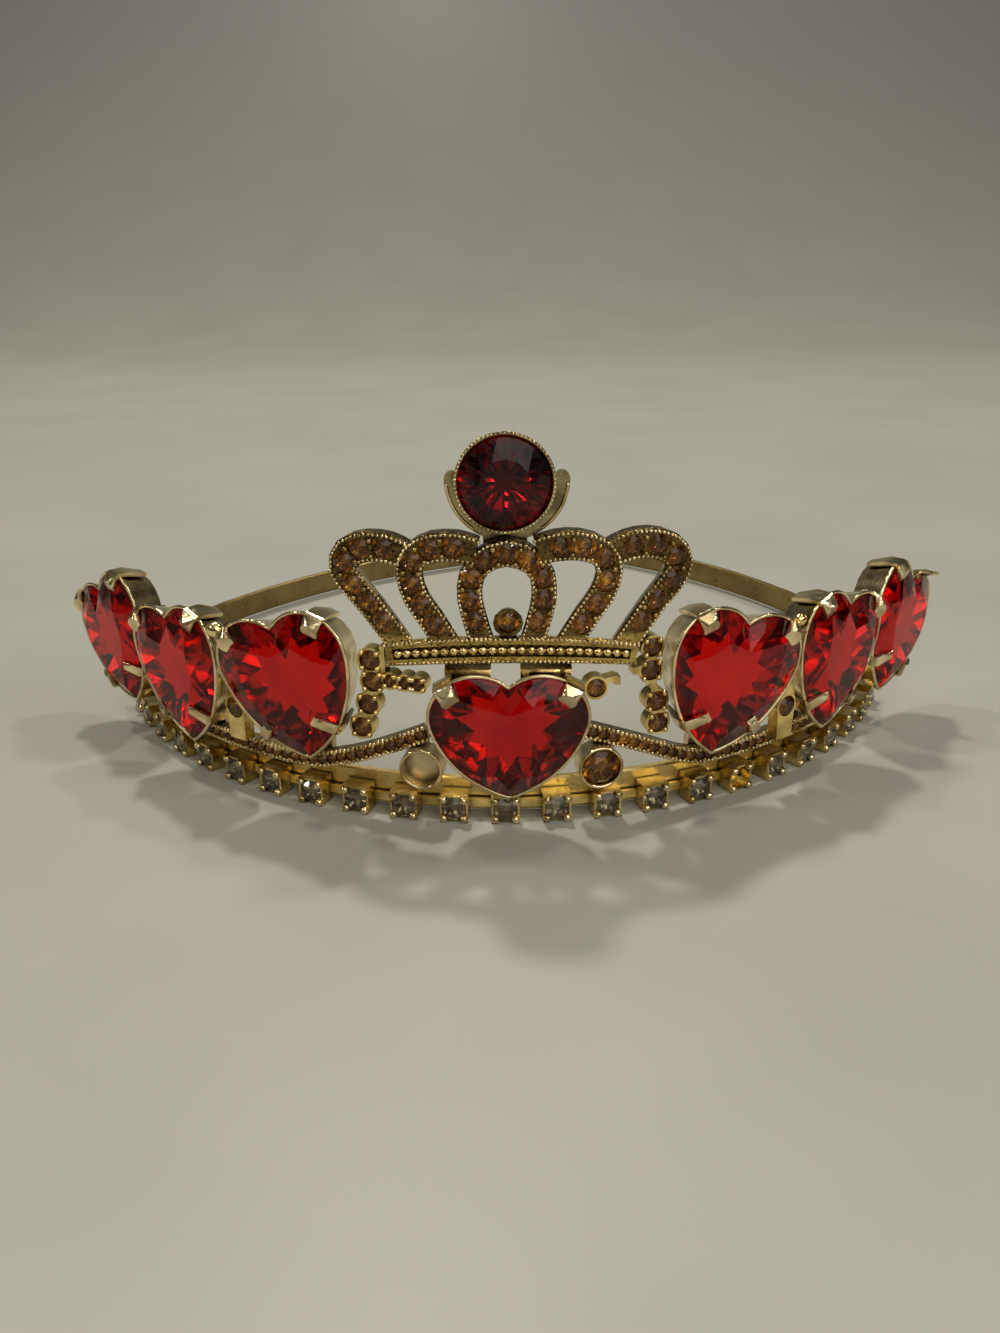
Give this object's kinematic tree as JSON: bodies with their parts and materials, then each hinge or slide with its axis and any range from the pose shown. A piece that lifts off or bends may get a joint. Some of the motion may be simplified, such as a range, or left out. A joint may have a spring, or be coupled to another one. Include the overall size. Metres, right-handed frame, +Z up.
{
  "type": "crown headband",
  "caption": "Tiara on an open metal headband: claw-set heart stones in front, a small pierced crown with a round stone on top, stone-set strands and a square-cup chain along the foot.",
  "frame": {"origin": "middle of the whole piece, on the surface that it stands on", "axes": "+Z up, the stones face -Y, the open ends of the band are at +Y, and +X is to the right as seen from the front"},
  "size_m": [0.128, 0.1172, 0.048],
  "materials": {
    "band_metal": "worn pale gold plating, satin, thin scratches",
    "chain_metal": "gold plating, bright, dulled in the corners",
    "crown_metal": "antiqued gold plating over a cast, beaded surface",
    "setting_metal": "polished pale gold plating, dark in the recesses",
    "red_stone": "foil-backed red glass, polished facets",
    "maroon_stone": "foil-backed dark red glass, polished facets",
    "amber_stone": "foil-backed smoky amber glass, polished facets",
    "smoky_stone": "foil-backed smoky glass, polished facets"
  },
  "bodies": {
    "root": {"headband": "band_metal", "base_chain": "chain_metal", "base_chain_stones": "smoky_stone", "crown_emblem": "crown_metal", "crown_stones": "amber_stone", "top_setting": "setting_metal", "top_stone": "maroon_stone", "strand_left": "crown_metal", "strand_left_stones": "amber_stone", "strand_right": "crown_metal", "strand_right_stones": "amber_stone", "side_chain_left": "chain_metal", "side_stones_left": "amber_stone", "side_chain_right": "chain_metal", "side_stones_right": "amber_stone", "broken_link": "chain_metal", "broken_link_stone": "amber_stone", "round_cup_left": "setting_metal", "round_cup_right": "setting_metal", "round_stone_right": "amber_stone", "link_left": "setting_metal", "link_left_stone": "amber_stone", "link_right": "setting_metal", "link_right_stone": "amber_stone", "joint_left": "setting_metal", "joint_right": "setting_metal", "heart_setting_1": "setting_metal", "heart_stone_1": "red_stone", "heart_setting_2": "setting_metal", "heart_stone_2": "red_stone", "heart_setting_3": "setting_metal", "heart_stone_3": "red_stone", "heart_setting_4": "setting_metal", "heart_stone_4": "red_stone", "heart_setting_5": "setting_metal", "heart_stone_5": "red_stone", "heart_setting_6": "setting_metal", "heart_stone_6": "red_stone", "heart_setting_7": "setting_metal", "heart_stone_7": "red_stone"}
  },
  "joints": []
}
